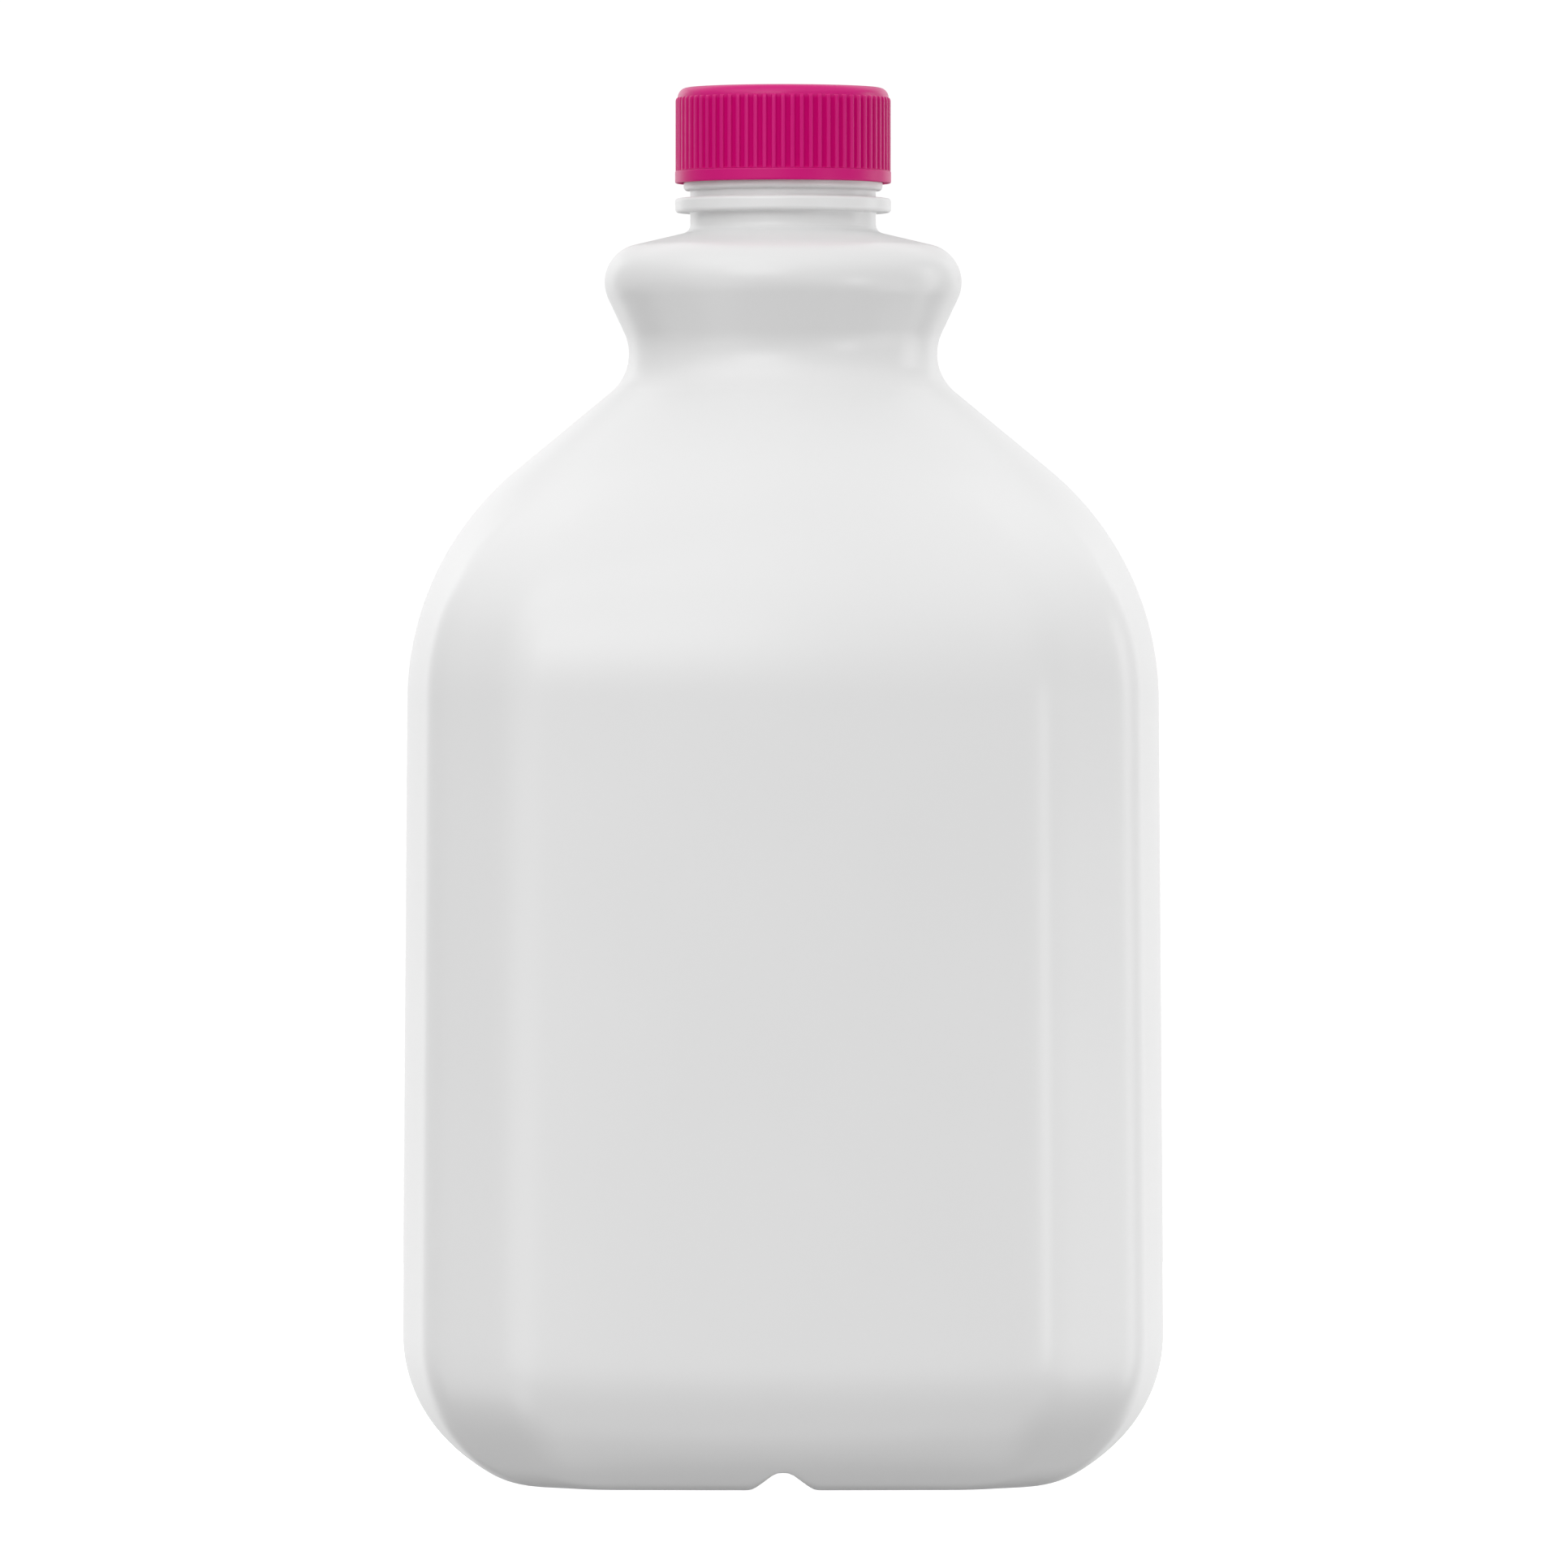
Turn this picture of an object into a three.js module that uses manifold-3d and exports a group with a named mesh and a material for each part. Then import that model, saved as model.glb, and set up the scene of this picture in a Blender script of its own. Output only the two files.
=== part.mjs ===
// Gallon jug of almond milk: a blow-moulded bottle with a grip neck, shut by a ribbed screw cap.
// Millimetres, +Z up, front towards -Y, origin at the middle of the base.

import * as THREE from "three";
import { mergeVertices } from "three/addons/utils/BufferGeometryUtils.js";
import Module from "manifold-3d";

const wasm = await Module();
wasm.setup();

// Body: a square plan with crowned faces and flat corners, a little wider at the foot
const BODY_HALF_TOP = 74.0;
const BODY_HALF_FOOT = 74.9;
const DOME_START_Z = 153.4;
const FRONT_CROWN_HALF = 45.8;
const FRONT_CROWN_RISE = 3.2;
const SIDE_CROWN_HALF = 46.7;
const SIDE_CROWN_RISE = 4.3;
const FRONT_EDGE_RADIUS = 16.8;
const CROWN_STEPS = 5;
const EDGE_STEPS = 3;

// Foot: the faces roll under in large fillets, and the foot is squarer than the body
const SIDE_FOOT_RADIUS = 29.0;
const FRONT_FOOT_RADIUS = 24.6;
const FOOT_STEPS = 8;
const FOOT_SQUARE_HEIGHT = 9.8;
const FOOT_SQUARE_GAIN = 0.33;
const FOOT_SQUARE_POWER = 1.9;

// Dome and shoulder: an arc that leaves the body upright and ends on a straight cone
const DOME_RADIUS = 59.1;
const SHOULDER_ANGLE = 50.45;
const DOME_STEPS = 10;

// Grip neck: a hollow waist below a round collar
const WAIST_RADIUS = 30.4;
const WAIST_ARC = 9.9;
const WAIST_Z = 221.9;
const WAIST_FLANK_ANGLE = 25.4;
const WAIST_STEPS = 7;
const COLLAR_RADIUS = 35.2;
const COLLAR_ARC = 7.5;
const COLLAR_Z = 236.0;
const COLLAR_TOP_ANGLE = 76.7;
const COLLAR_STEPS = 9;

// Neck, support ring and the bead below the cap
const NECK_RADIUS = 18.3;
const NECK_FILLET = 1.8;
const NECK_FILLET_STEPS = 3;
const RING_RADIUS = 21.3;
const RING_BOTTOM_Z = 249.7;
const RING_TOP_Z = 252.5;
const RING_ROUND = 0.65;
const BEAD_RADIUS = 19.6;
const BEAD_BOTTOM_Z = 254.0;
const BEAD_TOP_Z = 256.8;
const BEAD_ROUND = 0.7;
const ROUND_STEPS = 2;

// Underside: a channel from front to back across a shallow round recess
const CHANNEL_HALF = 7.4;
const CHANNEL_DEPTH = 3.8;
const CHANNEL_FLANK_ANGLE = 40;
const CHANNEL_STEPS = 4;
const RECESS_RADIUS = 34;
const RECESS_FLOOR_RADIUS = 30;
const RECESS_DEPTH = 2.6;
const RECESS_SEGMENTS = 48;

// Screw cap
const CAP_TOP_Z = 274.3;
const CAP_TOP_THICKNESS = 1.5;
const CAP_BOTTOM_Z = 255.5;
const CAP_BORE_RADIUS = 19.9;
const CAP_WALL_RADIUS = 20.8;
const CAP_EDGE_RADIUS = 1.9;
const CAP_EDGE_STEPS = 4;
const RIM_RADIUS = 21.3;
const RIM_TOP_Z = 257.9;
const RIM_CHAMFER = 0.3;
const RIB_COUNT = 72;
const RIB_RADIUS = 21.2;
const RIB_FOOT_HALF_ANGLE = 1.45;
const RIB_CREST_HALF_ANGLE = 0.95;
const RIB_TOP_Z = 272.3;
const RIB_END_LENGTH = 0.6;
const RIB_ROOT_DEPTH = 0.3;
const CAP_GAP = 0.3;

const radians = THREE.MathUtils.degToRad;

// Points of an arc in steps, with angles in degrees from the first axis
function arc(centreX, centreY, radius, from, to, steps) {
  const points = [];
  for (let i = 0; i <= steps; i += 1) {
    const angle = radians(from + ((to - from) * i) / steps);
    points.push(new THREE.Vector2(centreX + radius * Math.cos(angle), centreY + radius * Math.sin(angle)));
  }
  return points;
}

// Half widths of the body at a height: in both, the face rolls under below its foot radius
function faceHalf(z, footRadius) {
  const slope = (BODY_HALF_FOOT - BODY_HALF_TOP) / (DOME_START_Z - SIDE_FOOT_RADIUS);
  if (z >= footRadius) {
    return BODY_HALF_TOP + slope * (DOME_START_Z - z);
  }
  const drop = Math.min(footRadius - z, footRadius);
  const foot = BODY_HALF_TOP + slope * (DOME_START_Z - footRadius);
  return foot - footRadius + Math.sqrt(footRadius * footRadius - drop * drop);
}

// One quarter of the body's plan, from the middle of the front face to the middle of a side
function planQuarter() {
  const frontAngle = 2 * Math.atan(FRONT_CROWN_RISE / FRONT_CROWN_HALF);
  const sideAngle = 2 * Math.atan(SIDE_CROWN_RISE / SIDE_CROWN_HALF);
  const frontRadius = FRONT_CROWN_HALF / Math.sin(frontAngle);
  const sideRadius = SIDE_CROWN_HALF / Math.sin(sideAngle);
  const frontTurn = THREE.MathUtils.radToDeg(frontAngle);
  const sideTurn = THREE.MathUtils.radToDeg(sideAngle);
  const front = arc(0, BODY_HALF_TOP - frontRadius, frontRadius, 90, 90 - frontTurn, CROWN_STEPS);
  const side = arc(BODY_HALF_TOP - sideRadius, 0, sideRadius, sideTurn, 0, CROWN_STEPS);
  const frontEnd = front[front.length - 1];
  const sideEnd = side[0];

  // The corner flat lies at 45 degrees where the front edge's arc ends, and the side edge meets it
  const frontEdgeX = frontEnd.x - FRONT_EDGE_RADIUS * Math.sin(frontAngle);
  const frontEdgeY = frontEnd.y - FRONT_EDGE_RADIUS * Math.cos(frontAngle);
  const frontEdge = arc(frontEdgeX, frontEdgeY, FRONT_EDGE_RADIUS, 90 - frontTurn, 45, EDGE_STEPS);
  const flatStart = frontEdge[frontEdge.length - 1];
  const flatSum = flatStart.x + flatStart.y;
  const spread = Math.SQRT2 - Math.cos(sideAngle) - Math.sin(sideAngle);
  const sideEdgeRadius = (flatSum - sideEnd.x - sideEnd.y) / spread;
  const sideEdgeX = sideEnd.x - sideEdgeRadius * Math.cos(sideAngle);
  const sideEdgeY = sideEnd.y - sideEdgeRadius * Math.sin(sideAngle);
  const sideEdge = arc(sideEdgeX, sideEdgeY, sideEdgeRadius, 45, sideTurn, EDGE_STEPS);
  return [...front, ...frontEdge.slice(1), ...sideEdge, ...side.slice(1)];
}

// The whole plan as directions: an angle from the front and how far it stands out of a circle
function planDirections() {
  const quarter = planQuarter().map((point) => ({
    angle: Math.atan2(point.x, point.y),
    reach: point.length() / BODY_HALF_TOP,
  }));
  const half = [...quarter];
  for (const spot of quarter.slice(0, -1).reverse()) {
    half.push({ angle: Math.PI - spot.angle, reach: spot.reach });
  }
  const whole = [...half];
  for (const spot of half.slice(0, -1).reverse()) {
    whole.push({ angle: 2 * Math.PI - spot.angle, reach: spot.reach });
  }
  return whole;
}

// How square the plan is at a height: 1 on the body, more at the foot, 0 from the shoulder up
function squareness(z) {
  if (z < FOOT_SQUARE_HEIGHT) {
    return 1 + FOOT_SQUARE_GAIN * (1 - z / FOOT_SQUARE_HEIGHT) ** FOOT_SQUARE_POWER;
  }
  const shoulder = radians(SHOULDER_ANGLE);
  const rise = THREE.MathUtils.clamp((z - DOME_START_Z) / DOME_RADIUS, 0, Math.sin(shoulder));
  const drawnIn = (1 - Math.sqrt(1 - rise * rise)) / (1 - Math.cos(shoulder));
  return 0.5 + 0.5 * Math.cos(Math.PI * drawnIn);
}

// Outline of the bottle's side from the middle of the base to the middle of the mouth
function bottleProfile() {
  const points = [new THREE.Vector2(0, 0)];
  for (let i = 0; i <= FOOT_STEPS; i += 1) {
    const z = SIDE_FOOT_RADIUS * (1 - Math.cos((Math.PI * i) / (2 * FOOT_STEPS)));
    points.push(new THREE.Vector2(faceHalf(z, SIDE_FOOT_RADIUS), z));
  }

  const domeX = BODY_HALF_TOP - DOME_RADIUS;
  const waistX = WAIST_RADIUS + WAIST_ARC;
  const collarX = COLLAR_RADIUS - COLLAR_ARC;
  points.push(
    ...arc(domeX, DOME_START_Z, DOME_RADIUS, 0, SHOULDER_ANGLE, DOME_STEPS),
    ...arc(waistX, WAIST_Z, WAIST_ARC, 180 + SHOULDER_ANGLE, 180 - WAIST_FLANK_ANGLE, WAIST_STEPS),
    ...arc(collarX, COLLAR_Z, COLLAR_ARC, -WAIST_FLANK_ANGLE, COLLAR_TOP_ANGLE, COLLAR_STEPS),
  );

  // The collar's top slopes up to a fillet around the neck
  const collarEnd = points[points.length - 1];
  const slope = radians(90 - COLLAR_TOP_ANGLE);
  const filletX = NECK_RADIUS + NECK_FILLET;
  const filletFootX = filletX - NECK_FILLET * Math.sin(slope);
  const filletFootZ = collarEnd.y + (collarEnd.x - filletFootX) * Math.tan(slope);
  const filletZ = filletFootZ + NECK_FILLET * Math.cos(slope);
  points.push(...arc(filletX, filletZ, NECK_FILLET, 180 + COLLAR_TOP_ANGLE, 180, NECK_FILLET_STEPS));

  const ringX = RING_RADIUS - RING_ROUND;
  const beadX = BEAD_RADIUS - BEAD_ROUND;
  const mouthZ = CAP_TOP_Z - CAP_TOP_THICKNESS - CAP_GAP;
  points.push(
    new THREE.Vector2(NECK_RADIUS, RING_BOTTOM_Z),
    ...arc(ringX, RING_BOTTOM_Z + RING_ROUND, RING_ROUND, -90, 0, ROUND_STEPS),
    ...arc(ringX, RING_TOP_Z - RING_ROUND, RING_ROUND, 0, 90, ROUND_STEPS),
    new THREE.Vector2(NECK_RADIUS, RING_TOP_Z),
    new THREE.Vector2(NECK_RADIUS, BEAD_BOTTOM_Z),
    ...arc(beadX, BEAD_BOTTOM_Z + BEAD_ROUND, BEAD_ROUND, -90, 0, ROUND_STEPS),
    new THREE.Vector2(BEAD_RADIUS, BEAD_TOP_Z),
    new THREE.Vector2(NECK_RADIUS, BEAD_TOP_Z),
    new THREE.Vector2(NECK_RADIUS, mouthZ),
    new THREE.Vector2(0, mouthZ),
  );
  return points;
}

// A profile turned about the Z axis: the lathe turns about Y, so the result is stood up
function turned(profile, segments) {
  return new THREE.LatheGeometry(profile, segments).rotateX(Math.PI / 2);
}

// Moves the rings of a turned bottle from circles out to the plan's crowned square
function squareUp(geometry, profileLength, directions) {
  const position = geometry.attributes.position;
  for (let i = 0; i < position.count; i += 1) {
    const direction = directions[Math.floor(i / profileLength)];
    const z = position.getZ(i);
    let radius = Math.hypot(position.getX(i), position.getY(i));
    if (radius > 0) {
      const towardsFront = Math.cos(direction.angle) ** 2;
      radius += (faceHalf(z, FRONT_FOOT_RADIUS) - faceHalf(z, SIDE_FOOT_RADIUS)) * towardsFront;
    }
    radius *= 1 + squareness(z) * (direction.reach - 1);
    position.setX(i, radius * Math.sin(direction.angle));
    position.setY(i, -radius * Math.cos(direction.angle));
  }
  return geometry;
}

// Closed geometry as a solid for joining and cutting
function solid(geometry) {
  const bare = geometry.clone();
  bare.deleteAttribute("normal");
  bare.deleteAttribute("uv");
  const merged = mergeVertices(bare, 1e-4);
  const triangles = [];
  const index = merged.index.array;
  for (let i = 0; i < index.length; i += 3) {
    const [a, b, c] = [index[i], index[i + 1], index[i + 2]];
    if (a !== b && b !== c && c !== a) {
      triangles.push(a, b, c);
    }
  }
  return new wasm.Manifold(
    new wasm.Mesh({
      numProp: 3,
      vertProperties: new Float32Array(merged.attributes.position.array),
      triVerts: new Uint32Array(triangles),
    }),
  );
}

function geometryOf(manifold) {
  const mesh = manifold.getMesh();
  const geometry = new THREE.BufferGeometry();
  geometry.setAttribute("position", new THREE.BufferAttribute(new Float32Array(mesh.vertProperties), 3));
  geometry.setIndex(new THREE.BufferAttribute(new Uint32Array(mesh.triVerts), 1));
  geometry.computeVertexNormals();
  return geometry;
}

// Channel section: round crest, straight flanks and round lips, in X and Z
function channelOutline() {
  const flank = radians(CHANNEL_FLANK_ANGLE);
  const [sine, cosine] = [Math.sin(flank), Math.cos(flank)];
  const spread = sine * sine - cosine * (1 - cosine);
  const flankLength = (CHANNEL_DEPTH * sine - CHANNEL_HALF * (1 - cosine)) / spread;
  const round = (CHANNEL_HALF - flankLength * cosine) / (2 * sine);
  const crest = arc(0, CHANNEL_DEPTH - round, round, 90, 90 - CHANNEL_FLANK_ANGLE, CHANNEL_STEPS);
  const lip = arc(CHANNEL_HALF, round, round, 270 - CHANNEL_FLANK_ANGLE, 270, CHANNEL_STEPS);
  const right = [...crest, ...lip];
  const below = [new THREE.Vector2(CHANNEL_HALF, -1), new THREE.Vector2(-CHANNEL_HALF, -1)];
  const left = right.slice(1).reverse().map((point) => new THREE.Vector2(-point.x, point.y));
  return new THREE.Shape([...right, ...below, ...left]);
}

function baseChannel() {
  const length = 4 * BODY_HALF_FOOT;
  const geometry = new THREE.ExtrudeGeometry(channelOutline(), { depth: length, bevelEnabled: false });
  geometry.translate(0, 0, -length / 2);
  return geometry.rotateX(Math.PI / 2);
}

function baseRecess() {
  const lead = RECESS_RADIUS - RECESS_FLOOR_RADIUS;
  const profile = [
    new THREE.Vector2(0, -RECESS_DEPTH),
    new THREE.Vector2(RECESS_RADIUS + lead, -RECESS_DEPTH),
    new THREE.Vector2(RECESS_FLOOR_RADIUS, RECESS_DEPTH),
    new THREE.Vector2(0, RECESS_DEPTH),
  ];
  return turned(profile, RECESS_SEGMENTS);
}

function bottleGeometry() {
  const directions = planDirections();
  const profile = bottleProfile();
  const shell = squareUp(turned(profile, directions.length - 1), profile.length, directions);
  const bottle = solid(shell).subtract(solid(baseChannel())).subtract(solid(baseRecess()));
  return geometryOf(bottle);
}

// Cup of the cap: bore, plain rim, wall and rounded top edge
function capCup() {
  const edgeX = CAP_WALL_RADIUS - CAP_EDGE_RADIUS;
  const edgeZ = CAP_TOP_Z - CAP_EDGE_RADIUS;
  const profile = [
    new THREE.Vector2(0, CAP_TOP_Z - CAP_TOP_THICKNESS),
    new THREE.Vector2(CAP_BORE_RADIUS, CAP_TOP_Z - CAP_TOP_THICKNESS),
    new THREE.Vector2(CAP_BORE_RADIUS, CAP_BOTTOM_Z),
    new THREE.Vector2(RIM_RADIUS - RIM_CHAMFER, CAP_BOTTOM_Z),
    new THREE.Vector2(RIM_RADIUS, CAP_BOTTOM_Z + RIM_CHAMFER),
    new THREE.Vector2(RIM_RADIUS, RIM_TOP_Z - RIM_CHAMFER),
    new THREE.Vector2(RIM_RADIUS - RIM_CHAMFER, RIM_TOP_Z),
    new THREE.Vector2(CAP_WALL_RADIUS, RIM_TOP_Z),
    ...arc(edgeX, edgeZ, CAP_EDGE_RADIUS, 0, 90, CAP_EDGE_STEPS),
    new THREE.Vector2(0, CAP_TOP_Z),
  ];
  return turned(profile, RIB_COUNT);
}

// Toothed band: every rib is a ridge that runs from the rim to just under the top edge
function ribBand() {
  const pitch = 360 / RIB_COUNT;
  const outline = [];
  const root = CAP_WALL_RADIUS - RIB_ROOT_DEPTH;
  for (let i = 0; i < RIB_COUNT; i += 1) {
    const corners = [
      [root, -RIB_FOOT_HALF_ANGLE],
      [RIB_RADIUS, -RIB_CREST_HALF_ANGLE],
      [RIB_RADIUS, RIB_CREST_HALF_ANGLE],
      [root, RIB_FOOT_HALF_ANGLE],
    ];
    for (const [radius, offset] of corners) {
      const angle = radians(i * pitch + offset);
      outline.push(new THREE.Vector2(radius * Math.cos(angle), radius * Math.sin(angle)));
    }
  }
  const bottom = RIM_TOP_Z - RIM_CHAMFER;
  const settings = { depth: RIB_TOP_Z - bottom, bevelEnabled: false };
  return new THREE.ExtrudeGeometry(new THREE.Shape(outline), settings).translate(0, 0, bottom);
}

// Envelope that slopes the upper ends of the ribs back into the wall
function ribEnvelope() {
  const outer = RIB_RADIUS + RIB_ROOT_DEPTH;
  const inner = CAP_WALL_RADIUS - 2 * RIB_ROOT_DEPTH;
  const bottom = RIM_TOP_Z - RIM_CHAMFER;
  const profile = [
    new THREE.Vector2(inner, bottom),
    new THREE.Vector2(outer, bottom),
    new THREE.Vector2(outer, RIB_TOP_Z - RIB_END_LENGTH),
    new THREE.Vector2(CAP_WALL_RADIUS, RIB_TOP_Z),
    new THREE.Vector2(inner, RIB_TOP_Z),
    new THREE.Vector2(inner, bottom),
  ];
  return turned(profile, RIB_COUNT);
}

function capGeometry() {
  const ribs = solid(ribBand()).intersect(solid(ribEnvelope()));
  return geometryOf(solid(capCup()).add(ribs));
}

function piece(name, geometry, colour, roughness) {
  const material = new THREE.MeshStandardMaterial({ color: colour, roughness, metalness: 0 });
  const mesh = new THREE.Mesh(geometry, material);
  mesh.name = name;
  return mesh;
}

const jug = new THREE.Group();
jug.add(piece("bottle", bottleGeometry(), 0xededec, 0.42));
jug.add(piece("cap", capGeometry(), 0xc01b6c, 0.38));

export default jug;
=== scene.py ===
import math
import bpy
from mathutils import Matrix, Vector


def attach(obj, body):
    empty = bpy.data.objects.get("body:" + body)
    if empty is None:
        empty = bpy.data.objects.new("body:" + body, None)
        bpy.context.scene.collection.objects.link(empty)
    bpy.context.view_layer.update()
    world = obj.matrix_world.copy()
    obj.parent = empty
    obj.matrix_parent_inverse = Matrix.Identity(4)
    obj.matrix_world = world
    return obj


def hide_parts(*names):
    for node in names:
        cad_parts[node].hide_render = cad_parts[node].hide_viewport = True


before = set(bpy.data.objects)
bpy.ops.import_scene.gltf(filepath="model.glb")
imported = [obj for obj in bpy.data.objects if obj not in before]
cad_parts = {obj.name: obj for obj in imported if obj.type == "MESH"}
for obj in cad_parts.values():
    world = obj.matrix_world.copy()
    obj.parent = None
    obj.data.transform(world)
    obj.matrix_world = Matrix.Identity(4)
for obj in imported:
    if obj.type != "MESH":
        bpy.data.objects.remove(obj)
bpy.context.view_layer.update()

# ---------------------------------------------------------------------------
# Bottle
# A gallon bottle of opaque white HDPE, blow-moulded in one piece: a nearly square body under a
# domed shoulder, a round grip neck with a collar, and the neck finish that the cap screws on.
# The full bottle is shut and can't be seen into, so its outside is all that there is to make.
# ---------------------------------------------------------------------------

# Body and plan. Every size in this section is in millimetres, and every angle in degrees.
BODY_HALF_TOP = 74.0
BODY_HALF_FOOT = 74.9
DOME_START = 153.4
FRONT_CROWN_HALF = 45.8
FRONT_CROWN_RISE = 3.2
SIDE_CROWN_HALF = 46.7
SIDE_CROWN_RISE = 4.3
FRONT_EDGE_RADIUS = 16.8

# Foot: the side and front faces roll under, and the foot is squarer than the body
SIDE_FOOT_RADIUS = 29.0
FRONT_FOOT_RADIUS = 24.6
FOOT_SQUARE_HEIGHT = 9.8
FOOT_SQUARE_GAIN = 0.33
FOOT_SQUARE_POWER = 1.9

# Dome, waist and collar are arcs that a cone and short flanks join
DOME_RADIUS = 59.1
SHOULDER_ANGLE = 50.45
WAIST_RADIUS = 30.4
WAIST_ARC = 9.9
WAIST_HEIGHT = 221.9
WAIST_FLANK_ANGLE = 25.4
COLLAR_RADIUS = 35.2
COLLAR_ARC = 7.5
COLLAR_HEIGHT = 236.0
COLLAR_TOP_ANGLE = 76.7

# Neck with its support ring and bead
NECK_RADIUS = 18.3
NECK_FILLET = 1.8
RING_RADIUS = 21.3
RING_BOTTOM = 249.7
RING_TOP = 252.5
RING_ROUND = 0.65
BEAD_RADIUS = 19.6
BEAD_BOTTOM = 254.0
BEAD_TOP = 256.8
BEAD_ROUND = 0.7
INNER_ROUND = 0.35
MOUTH_HEIGHT = 272.5

# Underside: a channel from front to back across a shallow round recess
CHANNEL_REACH = 5.97
CHANNEL_DEPTH = 3.8
RECESS_REACH = 34.0
RECESS_DEPTH = 2.6
FLANK_SLOPE = 0.839
LIP_SOFTNESS = 1.2

# Surface: clouds in the white, the mould's grain and the slow ripples
CLOUD_SIZE = 35.714
GRAIN_LENGTH = 1.42857
GRAIN_THICKNESS = 0.454545
GRAIN_DEPTH = 0.06
RIPPLE_SIZE = 18.1818
RIPPLE_DEPTH = 0.2

MM = 0.001
WELD = 0.001 * MM

# A Mix node has inputs of the same name for each kind of data, so those for colours go by number
MIX_A, MIX_B, MIX_RESULT = 6, 7, 2


def add_node(tree, kind, inputs=(), **settings):
    """Adds one node, sets its properties, and fills its inputs with values or links. A node given
    as an input stands for its first output."""
    node = tree.nodes.new(kind)
    for name, value in settings.items():
        setattr(node, name, value)
    pairs = inputs.items() if isinstance(inputs, dict) else enumerate(inputs)
    for socket, value in pairs:
        if isinstance(value, bpy.types.Node):
            value = value.outputs[0]
        if isinstance(value, bpy.types.NodeSocket):
            tree.links.new(value, node.inputs[socket])
        else:
            node.inputs[socket].default_value = value
    return node


def linear(hex_colour):
    """Linear colour with alpha from an sRGB hex value such as "F2F2F0"."""
    channels = [int(hex_colour[i:i + 2], 16) / 255 for i in (0, 2, 4)]
    return [c / 12.92 if c <= 0.04045 else ((c + 0.055) / 1.055) ** 2.4 for c in channels] + [1.0]


def per_size(millimetres):
    """Scale at which a noise pattern has patches of this size."""
    return 1 / (millimetres * MM)


def arc(centre_x, centre_y, radius, start, end, steps):
    """Points of an arc in a plane, with angles in degrees from the first axis."""
    angles = [math.radians(start + (end - start) * i / steps) for i in range(steps + 1)]
    return [(centre_x + radius * math.cos(a), centre_y + radius * math.sin(a)) for a in angles]


def rounded_path(corners):
    """Straight lines with an arc at each corner (x, z, corner radius). Long straight parts get a
    point close to each end, so that the arcs' smooth shading doesn't bleed into them."""
    step_degrees, hold = 20.0, 0.12
    spots = [Vector(corner[:2]) for corner in corners]
    path = [spots[0]]
    for here, back, ahead, corner in zip(spots[1:], spots, spots[2:], corners[1:]):
        to_back = (back - here).normalized()
        to_ahead = (ahead - here).normalized()
        bend = math.pi - to_back.angle(to_ahead)
        if corner[2] == 0:
            path.append(here)
            continue
        centre = here + (to_back + to_ahead).normalized() * corner[2] / math.cos(bend / 2)
        spoke = here + to_back * corner[2] * math.tan(bend / 2) - centre
        side = 1 if to_back.x * to_ahead.y - to_back.y * to_ahead.x < 0 else -1
        steps = max(2, round(math.degrees(bend) / step_degrees))
        for i in range(steps + 1):
            path.append(centre + Matrix.Rotation(side * bend * i / steps, 2) @ spoke)
    path.append(spots[-1])
    held = [path[0]]
    for start, end in zip(path, path[1:]):
        length = (end - start).length
        if length > 4 * hold:
            held += [start.lerp(end, hold / length), start.lerp(end, 1 - hold / length)]
        held.append(end)
    return [tuple(spot) for spot in held]


def line_object(name, points, **attributes):
    """An object whose mesh is a bare line of points, with a number for each in named attributes."""
    mesh = bpy.data.meshes.new(name)
    mesh.from_pydata(points, [(i, i + 1) for i in range(len(points) - 1)], [])
    for key, values in attributes.items():
        mesh.attributes.new(key, "FLOAT", "POINT").data.foreach_set("value", values)
    thing = bpy.data.objects.new(name, mesh)
    bpy.context.scene.collection.objects.link(thing)
    return thing


def grow(thing, tree, values):
    """Runs a geometry tree on an object with named input values, and keeps the plain result."""
    modifier = thing.modifiers.new(tree.name, "NODES")
    modifier.node_group = tree
    for item in tree.interface.items_tree:
        if item.in_out == "INPUT" and item.name in values:
            modifier[item.identifier] = values[item.name]
    evaluated = thing.evaluated_get(bpy.context.evaluated_depsgraph_get())
    mesh = bpy.data.meshes.new_from_object(evaluated)
    thing.modifiers.clear()
    line = thing.data
    thing.data = mesh
    mesh.name = thing.name
    bpy.data.meshes.remove(line)


def body_half(z, foot_radius):
    """Half width of the body at a height, rolling under below the foot radius."""
    slope = (BODY_HALF_FOOT - BODY_HALF_TOP) / (DOME_START - SIDE_FOOT_RADIUS)
    if z >= foot_radius:
        return min(BODY_HALF_TOP + slope * (DOME_START - z), BODY_HALF_FOOT)
    foot = min(BODY_HALF_TOP + slope * (DOME_START - foot_radius), BODY_HALF_FOOT)
    return foot - foot_radius + math.sqrt(foot_radius ** 2 - (foot_radius - z) ** 2)


def squareness(z):
    """How far the plan is from a circle: 1 on the body, more at the foot, 0 above the dome."""
    if z < FOOT_SQUARE_HEIGHT:
        return 1 + FOOT_SQUARE_GAIN * (1 - z / FOOT_SQUARE_HEIGHT) ** FOOT_SQUARE_POWER
    shoulder = math.radians(SHOULDER_ANGLE)
    rise = min(max((z - DOME_START) / DOME_RADIUS, 0), math.sin(shoulder))
    drawn_in = (1 - math.sqrt(1 - rise * rise)) / (1 - math.cos(shoulder))
    return 0.5 + 0.5 * math.cos(math.pi * drawn_in)


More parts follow.
